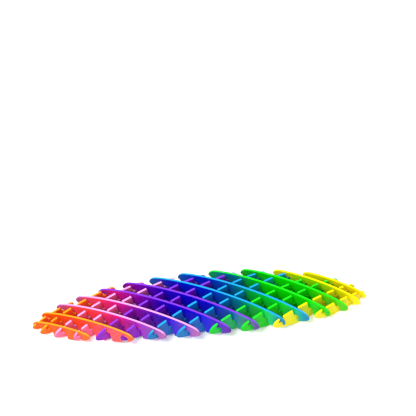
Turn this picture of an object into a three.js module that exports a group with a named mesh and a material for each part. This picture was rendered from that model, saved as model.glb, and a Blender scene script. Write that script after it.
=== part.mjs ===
// Lattice fidget worm: twenty-four thin upright plates, twelve leaning one way across the
// long axis and twelve leaning the other way, halved into each other wherever they cross.
// Every crossing is a loose upright pivot, so the whole lattice folds like a scissor fence:
// it stretches thin and long or squashes short and wide.
//
// Frame: millimetres, X along the worm, Y across it, Z up, origin in the middle of the flat base.
import * as THREE from 'three';

// ---- Driving dimensions ----
const LENS_LENGTH = 186; // the pointed lens that the worm is cut from, along X
const LENS_WIDTH = 41; // the same along Y, at belly level
const AXIS_OFFSET = -0.9; // the lattice's own axis runs this far from the lens's, along Y
const HEIGHT = 20; // flat base to crown
const BELLY_HEIGHT = 10.3; // level of the noses above the flat base, halfway along the worm
const BELLY_DROP = 0.64; // the noses come down by this share of it towards the tips
const KEEL_DEPTH = 12.6; // how far below its noses a plate would reach if it weren't cut flat
const KEEL_POWER = 0.4; // how much shallower that gets on the short plates near the tips
const CROWN_POWER = 0.54; // 0.5 would round the crown off; more draws it in towards the tips
const NOSE_INSET = 2.3; // every plate ends this far inside the lens,
const NOSE_ROUNDING = 3.2; // in a round nose that takes up this much of its length
const PLATE_THICKNESS = 0.95;
const PLATES_PER_FAMILY = 12;
const PITCH = 17.2; // distance between neighbours of one family, at the middle of the worm
const STAGGER = 0.25; // each family is shifted by this many pitches, A towards +X and B towards -X
const CROWDING = 0.00008; // how the pitch closes up towards the tips, per pitch to the fourth
const SLANT = THREE.MathUtils.degToRad(26.8); // angle between a plate and the long axis

// ---- Halving slots ----
const NECK_HALF_WIDTH = 1.25; // narrowest half width, at the points of the teeth
const MOUTH_HALF_WIDTH = 2.6; // the toothed wall leans out to this at the slot's mouth
const TOOTH_DEPTH = 0.3; // how far each tooth is undercut
const TEETH = 3;
const UNDERCUT_STEP = 0.05; // how much deeper the undercut starts, as a fraction of the depth
const TOOTHED_DEPTH = 0.75; // the toothed wall meets the neck at this fraction of the depth
const POCKET_HALF_WIDTH = 2.1; // half width of the round pocket beside a nose
const POCKET_START = 0.2; // depths, as fractions of the slot's, between which the pocket swells
const POCKET_END = 0.9;
const HOOK_THICKNESS = 1.7; // least thickness of a nose beside its pocket
const MOUTH_FLARE = 0.2; // how far the plain wall is eased back at the mouth,
const FLARE_DEPTH = 0.2; // over this fraction of the slot's depth
const SLOT_MARGIN = 0.5; // no outline point stands closer than this beside a slot's mouth
const SLOT_OVERLAP = 0.3; // each slot runs this far past half height, so the plates never bind
const HOOK_LENGTH = 2.2; // least plate left beyond a slot, so that the nose forms a hook
const STOP_SHORT = 3.4; // where no slot fits, one plate ends this far from the other
const REACH = 3.2; // noses that come this close to the same point can't both stay whole

// ---- Smoothness of the curves ----
const CROWN_STEPS = 36;
const POCKET_STEPS = 5;

const COLOURS = [0xff8a1c, 0xff86c8, 0x8a2be2, 0x1f6fe0, 0x1fd61f, 0xffe600];
const COLOUR_NAMES = ['orange', 'pink', 'purple', 'blue', 'green', 'yellow'];

const halfLength = LENS_LENGTH / 2;
const halfWidth = LENS_WIDTH / 2;
const crownRise = HEIGHT - BELLY_HEIGHT;
const cosSlant = Math.cos(SLANT);
const sinSlant = Math.sin(SLANT);
// Along a plate the lens's bulk, 1 - (x/a)^2 - (y/b)^2, falls by this much per mm squared.
const bulkPerSquare = (cosSlant / halfLength) ** 2 + (sinSlant / halfWidth) ** 2;

// ---- Where the plates stand ----

// The two families alternate along the axis: B1, A1, B2, A2 ... B12, A12, half a pitch apart.
// station is counted in pitches from the middle of the worm.
function axisPosition(station) {
  return PITCH * station * (1 - CROWDING * station ** 4);
}

function makePlate(family, index) {
  const middle = (PLATES_PER_FAMILY + 1) / 2;
  const x = axisPosition(index - middle + (family === 'A' ? STAGGER : -STAGGER));
  const [start, end] = lensCrossings(x, family === 'A' ? -sinSlant : sinSlant);
  return { family, index, x, start: start + NOSE_INSET, end: end - NOSE_INSET, slots: [] };
}

// A point at distance s along a plate is (x + s cosSlant, AXIS_OFFSET + s rise). This gives the
// two places where that line meets the lens's elliptical outline.
function lensCrossings(x, rise) {
  const half = (x * cosSlant) / halfLength ** 2 + (AXIS_OFFSET * rise) / halfWidth ** 2;
  const rest = (x / halfLength) ** 2 + (AXIS_OFFSET / halfWidth) ** 2 - 1;
  const root = Math.sqrt(half * half - bulkPerSquare * rest);
  return [(-half - root) / bulkPerSquare, (-half + root) / bulkPerSquare];
}

// Distance along plate A from its axis point to plate B's line. Along plate B it is the negative.
function crossingDistance(a, b) {
  return (b.x - a.x) / (2 * cosSlant);
}

function plateBeyond(plate, s) {
  return s > 0 ? plate.end - s : s - plate.start;
}

function trimPlate(plate, s) {
  if (s > 0) plate.end = Math.min(plate.end, s - STOP_SHORT);
  else plate.start = Math.max(plate.start, s + STOP_SHORT);
}

// Where two noses meet but leave no room for a slot, one stops short and the other runs on:
// on the -Y side the one nearer the worm's tip gives way, and on the +Y side plate B does.
function stopNosesShort(familyA, familyB) {
  const trims = [];
  for (const a of familyA) {
    for (const b of familyB) {
      const s = crossingDistance(a, b);
      const reach = Math.min(plateBeyond(a, s), plateBeyond(b, -s));
      if (reach >= HOOK_LENGTH || reach <= -REACH) continue;
      const onNearSide = s > 0;
      const outerIsA = Math.abs(a.x) > Math.abs(b.x);
      trims.push(onNearSide && outerIsA ? [a, s] : [b, -s]);
    }
  }
  for (const [plate, s] of trims) trimPlate(plate, s);
}

function bulkAt(plate, s) {
  const beyondEnd = plate.end + NOSE_INSET - s;
  const beyondStart = s - plate.start + NOSE_INSET;
  return bulkPerSquare * beyondEnd * beyondStart;
}

// The level of the noses at distance s along a plate.
function bellyHeight(plate, s) {
  const along = (plate.x + s * cosSlant) / halfLength;
  return BELLY_HEIGHT * (1 - BELLY_DROP * along * along);
}

// 1 along most of the plate, falling to 0 at its ends as a quarter circle does.
function noseCap(plate, s) {
  const toEnd = Math.min(plate.end - s, s - plate.start);
  const into = Math.max(0, 1 - Math.max(0, toEnd) / NOSE_ROUNDING);
  return Math.sqrt(1 - into * into);
}

function crownHeight(plate, s) {
  const rise = crownRise * bulkAt(plate, s) ** CROWN_POWER * noseCap(plate, s);
  return bellyHeight(plate, s) + rise;
}

// The underside falls away from both noses in a parabola, less deep on the short plates near the
// tips, and is cut flat where it meets the base.
function baseHeight(plate, s) {
  const bulkInMiddle = bulkAt(plate, (plate.start + plate.end) / 2);
  const depth = KEEL_DEPTH * bulkInMiddle ** KEEL_POWER * noseCap(plate, s);
  return Math.max(0, bellyHeight(plate, s) - (depth * bulkAt(plate, s)) / bulkInMiddle);
}

// Plates A are slotted from below and plates B from above, each a little past half height.
function placeSlots(familyA, familyB) {
  for (const a of familyA) {
    for (const b of familyB) {
      const s = crossingDistance(a, b);
      if (Math.min(plateBeyond(a, s), plateBeyond(b, -s)) < HOOK_LENGTH) continue;
      const crown = Math.min(crownHeight(a, s), crownHeight(b, -s));
      const base = Math.max(baseHeight(a, s), baseHeight(b, -s));
      const half = (crown + base) / 2;
      a.slots.push({ s, root: half + SLOT_OVERLAP });
      b.slots.push({ s: -s, root: half - SLOT_OVERLAP });
    }
  }
  for (const plate of [...familyA, ...familyB]) {
    plate.slots.sort((first, second) => first.s - second.s);
  }
}

// ---- A slot's walls ----

// A wall is a list of [depth, half width] from the mouth (depth 0) to the root (depth 1).
// The toothed wall leans in from the mouth to the neck in equal teeth, each one undercut.
function toothedWall() {
  const wall = [[0, MOUTH_HALF_WIDTH]];
  for (let tooth = 1; tooth <= TEETH; tooth += 1) {
    const depth = (TOOTHED_DEPTH * tooth) / TEETH;
    const point = MOUTH_HALF_WIDTH + ((NECK_HALF_WIDTH - MOUTH_HALF_WIDTH) * tooth) / TEETH;
    wall.push([depth, point]);
    wall.push([depth + UNDERCUT_STEP, point + TOOTH_DEPTH]);
  }
  wall.push([1, NECK_HALF_WIDTH]);
  return wall;
}

// The plain wall stands upright and is eased back a little at the mouth.
function plainWall() {
  return [
    [0, NECK_HALF_WIDTH + MOUTH_FLARE],
    [FLARE_DEPTH, NECK_HALF_WIDTH],
    [1, NECK_HALF_WIDTH],
  ];
}

// The wall beside a nose swells into a round pocket, which leaves the nose's tip as a hook.
// noseLength is how far the nose reaches beyond the middle of the slot.
function pocketWall(noseLength) {
  const widest = Math.min(POCKET_HALF_WIDTH, noseLength - HOOK_THICKNESS);
  const swelling = Math.max(0, widest - NECK_HALF_WIDTH);
  const wall = [[0, NECK_HALF_WIDTH]];
  for (let step = 1; step <= POCKET_STEPS; step += 1) {
    const swell = Math.sin((Math.PI * step) / POCKET_STEPS);
    const depth = POCKET_START + ((POCKET_END - POCKET_START) * step) / POCKET_STEPS;
    wall.push([depth, NECK_HALF_WIDTH + swelling * swell]);
  }
  wall.push([1, NECK_HALF_WIDTH]);
  return wall;
}

// Every plate has its teeth on the same side of its slots: B towards -X and A towards +X.
function wallOf(plate, number, side) {
  const { s } = plate.slots[number];
  if (side < 0 && number === 0) return pocketWall(s - plate.start);
  if (side > 0 && number === plate.slots.length - 1) return pocketWall(plate.end - s);
  const toothedSide = plate.family === 'A' ? 1 : -1;
  return side === toothedSide ? toothedWall() : plainWall();
}

// One side of a slot as points from mouth to root; side is -1 or 1 along the plate.
function slotSide(plate, number, side, mouthAt) {
  const slot = plate.slots[number];
  const wall = wallOf(plate, number, side);
  const mouthHeight = mouthAt(slot.s + side * wall[0][1]);
  return wall.map(([depth, halfSlot]) => {
    const height = mouthHeight + (slot.root - mouthHeight) * depth;
    return [slot.s + side * halfSlot, height];
  });
}

// The whole slot as a path along the plate in the direction of growing s. mouthAt(s) is the
// height of the plate's edge that the slot opens through.
function slotPath(plate, number, mouthAt) {
  const left = slotSide(plate, number, -1, mouthAt);
  const right = slotSide(plate, number, 1, mouthAt);
  return [...left, ...right.reverse()];
}

// ---- A plate's outline ----

// An edge of the plate from start to end, sampled evenly by angle so that the steps shorten
// towards the noses. Slots, where there are any, replace the stretch of edge they cut away.
function edgePath(plate, heightAt, slotted) {
  const middle = (plate.start + plate.end) / 2;
  const half = (plate.end - plate.start) / 2;
  const samples = [];
  for (let step = 0; step <= CROWN_STEPS; step += 1) {
    const s = middle - half * Math.cos((Math.PI * step) / CROWN_STEPS);
    samples.push([s, heightAt(s)]);
  }
  // Of the flat base only the two ends are kept.
  const onFlat = (step) => samples[step][1] === 0;
  const pieces = samples
    .filter((_, step) => !(onFlat(step) && onFlat(step - 1) && onFlat(step + 1)))
    .filter(([s]) => !slotted || !cutAway(plate, s))
    .map((point) => ({ s: point[0], points: [point] }));
  if (slotted) {
    plate.slots.forEach((slot, number) => {
      pieces.push({ s: slot.s, points: slotPath(plate, number, heightAt) });
    });
  }
  pieces.sort((first, second) => first.s - second.s);
  return pieces.flatMap((piece) => piece.points);
}

// Whether a slot's mouth, or the margin beside it, takes away the plate's edge at distance s.
function cutAway(plate, s) {
  return plate.slots.some((slot, number) => {
    const [, mouthHalfWidth] = wallOf(plate, number, s < slot.s ? -1 : 1)[0];
    return Math.abs(slot.s - s) < mouthHalfWidth + SLOT_MARGIN;
  });
}

function plateShape(plate) {
  const isA = plate.family === 'A';
  const under = edgePath(plate, (s) => baseHeight(plate, s), isA);
  const over = edgePath(plate, (s) => crownHeight(plate, s), !isA);
  // Both edges meet at the noses, so the upper one is walked back without its end points.
  const outline = [...under, ...over.slice(1, -1).reverse()];
  return new THREE.Shape(outline.map(([s, z]) => new THREE.Vector2(s, z)));
}

function plateMesh(plate) {
  const geometry = new THREE.ExtrudeGeometry(plateShape(plate), {
    depth: PLATE_THICKNESS,
    bevelEnabled: false,
  });
  geometry.translate(0, 0, -PLATE_THICKNESS / 2);
  geometry.rotateX(Math.PI / 2); // the drawn height becomes Z
  const pair = Math.floor((plate.index - 1) / 2);
  const material = new THREE.MeshStandardMaterial({
    color: COLOURS[pair],
    roughness: 0.35,
    metalness: 0,
  });
  const mesh = new THREE.Mesh(geometry, material);
  const number = String(plate.index).padStart(2, '0');
  mesh.name = `plate_${plate.family}${number}_${COLOUR_NAMES[pair]}`;
  mesh.position.set(plate.x, AXIS_OFFSET, 0);
  mesh.rotation.z = plate.family === 'A' ? -SLANT : SLANT;
  return mesh;
}

// ---- Assembly ----

const indices = Array.from({ length: PLATES_PER_FAMILY }, (_, number) => number + 1);
const familyA = indices.map((index) => makePlate('A', index));
const familyB = indices.map((index) => makePlate('B', index));
stopNosesShort(familyA, familyB);
placeSlots(familyA, familyB);

const worm = new THREE.Group();
for (const plate of [...familyA, ...familyB]) worm.add(plateMesh(plate));

export default worm;
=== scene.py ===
"""Lattice fidget worm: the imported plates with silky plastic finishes, a pale floor, light and camera."""

import math

import bpy
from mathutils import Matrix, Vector


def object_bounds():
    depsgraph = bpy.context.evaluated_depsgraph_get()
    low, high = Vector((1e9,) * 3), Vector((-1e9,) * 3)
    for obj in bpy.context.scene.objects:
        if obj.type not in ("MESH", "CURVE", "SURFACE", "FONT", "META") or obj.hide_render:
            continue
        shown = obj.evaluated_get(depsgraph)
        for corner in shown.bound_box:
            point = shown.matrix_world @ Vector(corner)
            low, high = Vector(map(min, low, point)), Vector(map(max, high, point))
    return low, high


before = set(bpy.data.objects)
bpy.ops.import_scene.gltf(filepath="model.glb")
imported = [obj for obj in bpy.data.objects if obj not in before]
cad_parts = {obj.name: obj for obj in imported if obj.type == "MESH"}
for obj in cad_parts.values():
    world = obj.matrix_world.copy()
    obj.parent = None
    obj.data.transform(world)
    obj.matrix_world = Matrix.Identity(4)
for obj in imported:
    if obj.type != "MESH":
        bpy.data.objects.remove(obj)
cad_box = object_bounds()

# ---- Colours, as seen under white light (sRGB, 0 to 1) ----

# For each colour: the sides of plates A and of plates B out at the noses, which are one plastic
# made lighter or darker with painted light and shade, and the lit edges as a painted highlight.
PLASTICS = {
    "orange": {"A": (0.82, 0.33, 0.00), "B": (0.94, 0.36, 0.00), "edge": (0.98, 0.56, 0.10)},
    "pink": {"A": (0.58, 0.32, 0.52), "B": (0.84, 0.36, 0.50), "edge": (0.90, 0.58, 0.84)},
    "purple": {"A": (0.32, 0.00, 0.52), "B": (0.42, 0.00, 0.62), "edge": (0.46, 0.20, 0.82)},
    "blue": {"A": (0.00, 0.36, 0.60), "B": (0.00, 0.38, 0.60), "edge": (0.10, 0.58, 0.84)},
    "green": {"A": (0.00, 0.64, 0.00), "B": (0.00, 0.66, 0.00), "edge": (0.10, 0.86, 0.10)},
    "yellow": {"A": (0.86, 0.76, 0.00), "B": (0.80, 0.74, 0.00), "edge": (0.94, 0.88, 0.00)},
}
# Painted bounce light and shade: inside the lattice the plates light each other, so their sides
# are painted deeper towards these colours. Each is given with its place along the worm, from -1 (orange end)
# to 1 (yellow end).
PAINTED_BOUNCE = [
    (-0.90, (0.98, 0.26, 0.00)),
    (-0.66, (0.97, 0.26, 0.22)),
    (-0.50, (0.86, 0.10, 0.50)),
    (-0.36, (0.50, 0.02, 0.66)),
    (-0.24, (0.16, 0.00, 0.70)),
    (-0.10, (0.00, 0.00, 0.76)),
    (0.06, (0.00, 0.06, 0.74)),
    (0.18, (0.00, 0.32, 0.58)),
    (0.30, (0.00, 0.62, 0.18)),
    (0.42, (0.00, 0.76, 0.00)),
    (0.66, (0.04, 0.78, 0.00)),
    (0.78, (0.42, 0.78, 0.00)),
    (0.92, (0.90, 0.80, 0.00)),
]
# How far a side is painted with this bounce light and shade, out at the noses and deep inside. Plates A are
# whole walls at the top, and plates B are only low tabs there, which keep more of their own colour.
PAINTED_BOUNCE_SHARE = {"A": (0.10, 0.95), "B": (0.00, 0.30)}

# ---- Finish ----
LAYER_HEIGHT = 0.0002  # the plates are printed in layers this thick, in metres
EDGE_ROUNDING = 0.00022
SHARP_ANGLE = math.radians(35)  # corners of the outline sharper than this are rounded
CLOUD_SCALE = 60.0  # noise cells per metre that make the silk uneven
CLOUD_SHIFT = 0.12  # how far they shift the painted bounce colours along the worm
GRAIN_SCALE = 2500.0
RELIEF = 0.00003  # height of the layers and grain
ROUGHNESS = (0.38, 0.50)
SHEEN = 0.08  # specular level
DEPTH_SPAN = (0.95, 0.40)  # where the painted bounce light and shade fades in, from out at the noses to deep inside, as a sum of squares
PAINTED_HIGHLIGHT_SPAN = (0.45, 0.80)  # painted highlight: how far up a face looks, from an unlit side to a fully lit edge

# ---- Camera and light ----
CAMERA_DISTANCE = 1.269
CAMERA_AZIMUTH = math.radians(-6.10)
CAMERA_ELEVATION = math.radians(56.15)
CAMERA_LENS = 202.5
AIM_RIGHT = 0.00466  # the camera aims this far to the right of the worm's middle
AIM_UP = 0.0579  # and this far above it, so that the worm lies low in the picture
FLOOR_WHITE = 0.97
SURROUND_STRENGTH = 0.8


def linear(colour):
    """An sRGB colour as linear RGBA."""
    return tuple(((c + 0.055) / 1.055) ** 2.4 if c > 0.04045 else c / 12.92 for c in colour) + (1.0,)


class Nodes:
    """Short calls for building a material's node tree."""

    def __init__(self, material):
        self.tree = material.node_tree
        self.tree.nodes.clear()

    def add(self, kind, settings=None, **inputs):
        """A node with its settings, and its inputs set to a value or linked to a socket.

        An input is named with _ for a space, or by its number, as in i0.
        """
        node = self.tree.nodes.new(kind)
        for name, value in (settings or {}).items():
            setattr(node, name, value)
        for name, value in inputs.items():
            by_number = name[1:].isdigit()
            socket = node.inputs[int(name[1:]) if by_number else name.replace("_", " ")]
            if isinstance(value, bpy.types.NodeSocket):
                self.tree.links.new(value, socket)
            else:
                socket.default_value = value
        return node

    def math(self, operation, a, b=0.0):
        return self.add("ShaderNodeMath", {"operation": operation}, i0=a, i1=b).outputs[0]

    def mix(self, share, a, b):
        node = self.add("ShaderNodeMix", {"data_type": "RGBA"}, i0=share)
        for socket, value in ((node.inputs[6], a), (node.inputs[7], b)):
            if isinstance(value, bpy.types.NodeSocket):
                self.tree.links.new(value, socket)
            else:
                socket.default_value = value
        return node.outputs[2]

    def ramp(self, factor, stops):
        node = self.add("ShaderNodeValToRGB", None, i0=factor)
        elements = node.color_ramp.elements
        for _ in range(len(stops) - len(elements)):
            elements.new(0.5)
        for element, (position, colour) in zip(elements, stops):
            element.position = position
            element.color = colour
        return node.outputs[0]


def plastic(name, outer_side, edge, painted_bounce_share):
    """Silky printed plastic: a painted highlight on upward edges, sides painted with the bounce light and
    shade of the plates around them, print layers.
    """
    material = bpy.data.materials.new(name)
    material.use_nodes = True
    nodes = Nodes(material)
    place = nodes.add("ShaderNodeTexCoord").outputs["Object"]
    xyz = nodes.add("ShaderNodeSeparateXYZ", None, Vector=place).outputs
    cloud = nodes.add("ShaderNodeTexNoise", None, Vector=place, Scale=CLOUD_SCALE, Detail=3.0).outputs["Fac"]
    uneven = nodes.math("MULTIPLY", nodes.math("SUBTRACT", cloud, 0.5), CLOUD_SHIFT)

    # Place along and across the worm, each from -1 to 1, and from them how deep inside it is, which sets how
    # much painted bounce light and shade a side gets.
    along = nodes.math("DIVIDE", xyz["X"], cad_box[1].x)
    across = nodes.math("DIVIDE", xyz["Y"], cad_box[1].y)
    outward = nodes.math("ADD", nodes.math("POWER", along, 2.0), nodes.math("POWER", across, 2.0))
    share = nodes.add(
        "ShaderNodeMapRange", {"interpolation_type": "SMOOTHSTEP"},
        i0=outward, i1=DEPTH_SPAN[0], i2=DEPTH_SPAN[1], i3=painted_bounce_share[0], i4=painted_bounce_share[1],
    ).outputs[0]
    stops = [((at + 1) / 2, linear(colour)) for at, colour in PAINTED_BOUNCE]
    half_way = nodes.math("MULTIPLY", nodes.math("ADD", nodes.math("ADD", along, uneven), 1.0), 0.5)
    # The side's own colour, mixed towards the painted bounce light and shade.
    side = nodes.mix(share, linear(outer_side), nodes.ramp(half_way, stops))

    # Painted highlight: upward edges, which face the light, are painted paler than the sides.
    normal = nodes.add("ShaderNodeNewGeometry").outputs["Normal"]
    upward = nodes.add("ShaderNodeSeparateXYZ", None, Vector=normal).outputs["Z"]
    painted_highlight_mask = nodes.add("ShaderNodeMapRange", None, i0=upward, i1=PAINTED_HIGHLIGHT_SPAN[0], i2=PAINTED_HIGHLIGHT_SPAN[1]).outputs[0]
    colour = nodes.mix(painted_highlight_mask, side, linear(edge))

    # Print layers, as fine level grooves, and a slight graininess of the silk.
    layer = nodes.math("SINE", nodes.math("MULTIPLY", xyz["Z"], 2 * math.pi / LAYER_HEIGHT))
    grain = nodes.add("ShaderNodeTexNoise", None, Vector=place, Scale=GRAIN_SCALE, Detail=2.0).outputs["Fac"]
    height = nodes.math("ADD", nodes.math("MULTIPLY", layer, 0.5), nodes.math("MULTIPLY", grain, 0.6))
    bump = nodes.add("ShaderNodeBump", None, Height=height, Strength=0.25, Distance=RELIEF)
    roughness = nodes.add(
        "ShaderNodeMapRange", None, i0=cloud, i3=ROUGHNESS[0], i4=ROUGHNESS[1],
    ).outputs[0]
    shader = nodes.add(
        "ShaderNodeBsdfPrincipled",
        None,
        Base_Color=colour,
        Roughness=roughness,
        Normal=bump.outputs[0],
        Specular_IOR_Level=SHEEN,
    )
    nodes.add("ShaderNodeOutputMaterial", None, Surface=shader.outputs[0])
    return material


def finish_plates():
    """Gives every plate its plastic and a small rounding along its edges."""
    plastics = {
        (family, colour): plastic(f"{colour}_plastic_{family}", look[family], look["edge"], painted_bounce_share)
        for family, painted_bounce_share in PAINTED_BOUNCE_SHARE.items()
        for colour, look in PLASTICS.items()
    }
    for name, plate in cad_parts.items():
        _, number, colour = name.split("_")
        plate.data.materials.clear()
        plate.data.materials.append(plastics[number[0], colour])
        bevel = plate.modifiers.new("edge_rounding", "BEVEL")
        bevel.width = EDGE_ROUNDING
        bevel.segments = 3
        bevel.limit_method = "ANGLE"
        bevel.angle_limit = SHARP_ANGLE
        bevel.harden_normals = True


def soft_light(name, place, target, size, power):
    """A square area light that looks at target."""
    data = bpy.data.lights.new(name, "AREA")
    data.shape = "SQUARE"
    data.size = size
    data.energy = power
    light = bpy.data.objects.new(name, data)
    bpy.context.scene.collection.objects.link(light)
    light.location = place
    light.rotation_euler = (Vector(target) - Vector(place)).to_track_quat("-Z", "Y").to_euler()


def studio():
    """A pale floor, a white surround and two soft lights."""
    bpy.ops.mesh.primitive_plane_add(size=6.0, location=(0, 0, cad_box[0].z))
    floor = bpy.context.object
    floor.name = "floor"
    material = bpy.data.materials.new("pale_floor")
    material.use_nodes = True
    nodes = Nodes(material)
    white = linear((FLOOR_WHITE,) * 3)
    shader = nodes.add("ShaderNodeBsdfPrincipled", None, Base_Color=white, Roughness=0.9)
    nodes.add("ShaderNodeOutputMaterial", None, Surface=shader.outputs[0])
    floor.data.materials.append(material)

    world = bpy.data.worlds.new("white_surround")
    world.use_nodes = True
    world.node_tree.nodes["Background"].inputs["Color"].default_value = (1, 1, 1, 1)
    world.node_tree.nodes["Background"].inputs["Strength"].default_value = SURROUND_STRENGTH
    bpy.context.scene.world = world
    middle = (0, 0, 0.01)
    soft_light("key_light", (-0.35, -0.25, 0.75), middle, 0.4, 9.0)
    soft_light("fill_light", (0.5, -0.5, 0.5), middle, 0.6, 3.0)
    bpy.context.scene.view_settings.view_transform = "Standard"


def camera():
    """The camera, high over the near side, aimed above the worm."""
    azimuth, elevation = CAMERA_AZIMUTH, CAMERA_ELEVATION
    back = Vector((
        math.sin(azimuth) * math.cos(elevation),
        -math.cos(azimuth) * math.cos(elevation),
        math.sin(elevation),
    ))
    right = Vector((math.cos(azimuth), math.sin(azimuth), 0))
    up = back.cross(right)
    data = bpy.data.cameras.new("camera")
    data.lens = CAMERA_LENS
    data.sensor_width = 36.0
    data.clip_start = 0.01
    view = bpy.data.objects.new("camera", data)
    bpy.context.scene.collection.objects.link(view)
    view.location = back * CAMERA_DISTANCE
    aim = right * AIM_RIGHT + up * AIM_UP
    view.rotation_euler = (aim - view.location).to_track_quat("-Z", "Y").to_euler()
    bpy.context.scene.camera = view


finish_plates()
studio()
camera()
